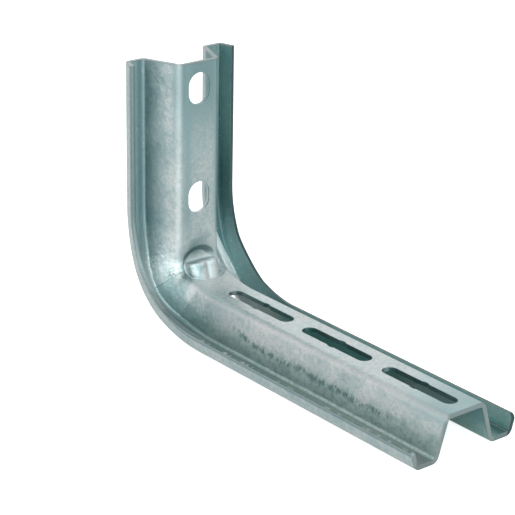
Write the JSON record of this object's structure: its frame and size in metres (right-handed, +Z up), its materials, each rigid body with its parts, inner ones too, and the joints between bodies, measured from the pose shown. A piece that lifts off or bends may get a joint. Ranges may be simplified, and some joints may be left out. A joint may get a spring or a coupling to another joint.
{
  "type": "cantilever strut arm",
  "caption": "L-shaped cantilever arm folded from galvanised sheet, with a slotted web, sloped legs, side flanges, turned-up lips and a dent in its inside corner.",
  "frame": {"origin": "where the wall plane meets the plane of the arm's undersides, at the middle of the width", "axes": "+X along the arm away from the wall, +Y across the arm, +Z up along the upright"},
  "size_m": [0.1905, 0.058, 0.1185],
  "materials": {
    "galvanised_steel": "galvanised zinc, satin, faintly mottled, brighter along the folds, with scuffs"
  },
  "bodies": {
    "root": {"strut_arm": "galvanised_steel"}
  },
  "joints": []
}
